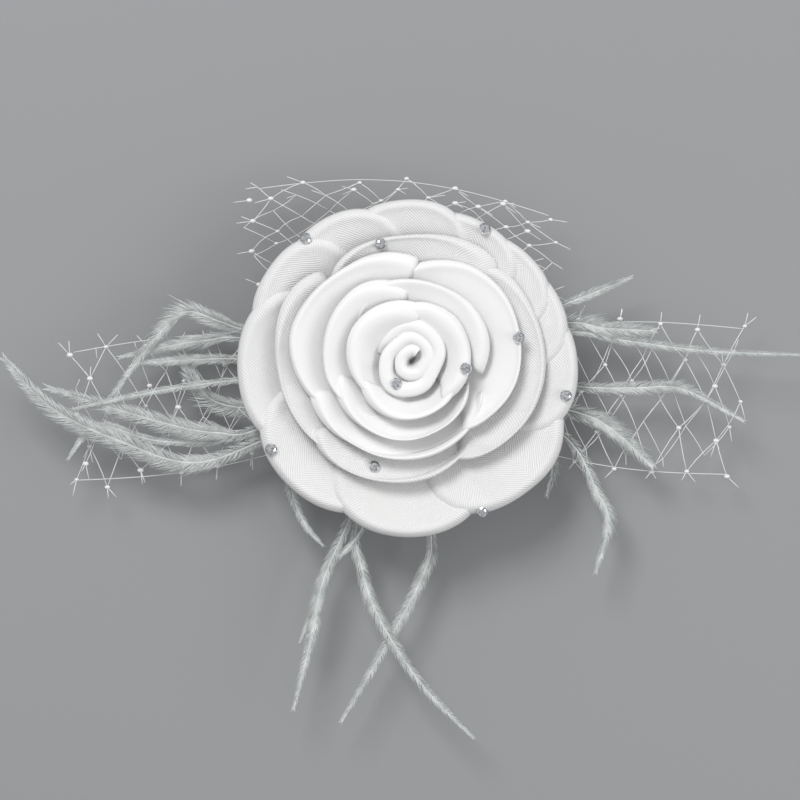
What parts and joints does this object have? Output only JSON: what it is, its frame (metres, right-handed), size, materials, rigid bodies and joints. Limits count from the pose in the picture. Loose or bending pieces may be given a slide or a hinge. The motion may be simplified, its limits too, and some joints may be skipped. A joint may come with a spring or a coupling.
{
  "type": "flower hair clip",
  "caption": "White fabric rose hair clip with net veiling, thin feathers and small rhinestones, backed by felt and a sprung steel alligator clip that opens on a pivot pin.",
  "frame": {"origin": "on the flat underside of the clip's lower arm, below the axis of the rose", "axes": "+Z out of the rose's face, away from the hair; +X along the clip towards the tips of its jaws; +Y across the clip"},
  "size_m": [0.2699, 0.1869, 0.0376],
  "materials": {
    "petal_cloth": "white polyester twill",
    "satin_cloth": "smooth white satin-faced cloth",
    "felt": "white craft felt",
    "net": "white knotted nylon net",
    "feather": "cool grey-white feather barbs on a quill",
    "crystal": "silver-backed cut glass",
    "glue": "set hot glue",
    "clip_steel": "nickel-plated pressed steel",
    "pin_steel": "drawn steel"
  },
  "bodies": {
    "flower": {"felt_backing": "felt", "clip_top_plate": "clip_steel", "pivot_pin": "pin_steel", "torsion_spring": "pin_steel", "glue_core": "glue", "rose_base": "satin_cloth", "outer_petal_1": "petal_cloth", "outer_petal_2": "petal_cloth", "outer_petal_3": "petal_cloth", "outer_petal_4": "petal_cloth", "outer_petal_5": "petal_cloth", "outer_petal_6": "petal_cloth", "outer_petal_7": "petal_cloth", "outer_petal_8": "petal_cloth", "outer_petal_9": "petal_cloth", "outer_petal_10": "petal_cloth", "outer_petal_11": "petal_cloth", "second_petal_1": "satin_cloth", "second_petal_2": "satin_cloth", "second_petal_3": "satin_cloth", "second_petal_4": "satin_cloth", "third_petal_1": "satin_cloth", "third_petal_2": "satin_cloth", "third_petal_3": "satin_cloth", "fourth_petal_1": "satin_cloth", "fourth_petal_2": "satin_cloth", "fourth_petal_3": "satin_cloth", "inner_petal_1": "satin_cloth", "inner_petal_2": "satin_cloth", "inner_petal_3": "satin_cloth", "bud_roll": "satin_cloth", "rhinestones": "crystal", "net_left": "net", "net_right": "net", "net_top": "net", "feather_left_1": "feather", "feather_left_2": "feather", "feather_left_3": "feather", "feather_left_4": "feather", "feather_left_5": "feather", "feather_left_6": "feather", "feather_left_7": "feather", "feather_left_8": "feather", "feather_right_1": "feather", "feather_right_2": "feather", "feather_right_3": "feather", "feather_right_4": "feather", "feather_right_5": "feather", "feather_right_6": "feather", "feather_right_7": "feather", "feather_lower_1": "feather", "feather_lower_2": "feather", "feather_lower_3": "feather", "feather_lower_4": "feather", "feather_lower_5": "feather"},
    "jaw": {"clip_lower_jaw": "clip_steel"}
  },
  "joints": [
    {"name": "jaw_hinge", "type": "hinge", "parent": "flower", "child": "jaw", "pos_m": [-0.008, 0, 0.00448], "axis": [0, 1, 0], "range_deg": [0, 26], "stiffness_Nm_per_rad": 0.03, "springref_deg": -45.84, "deforming": ["torsion_spring"]}
  ]
}
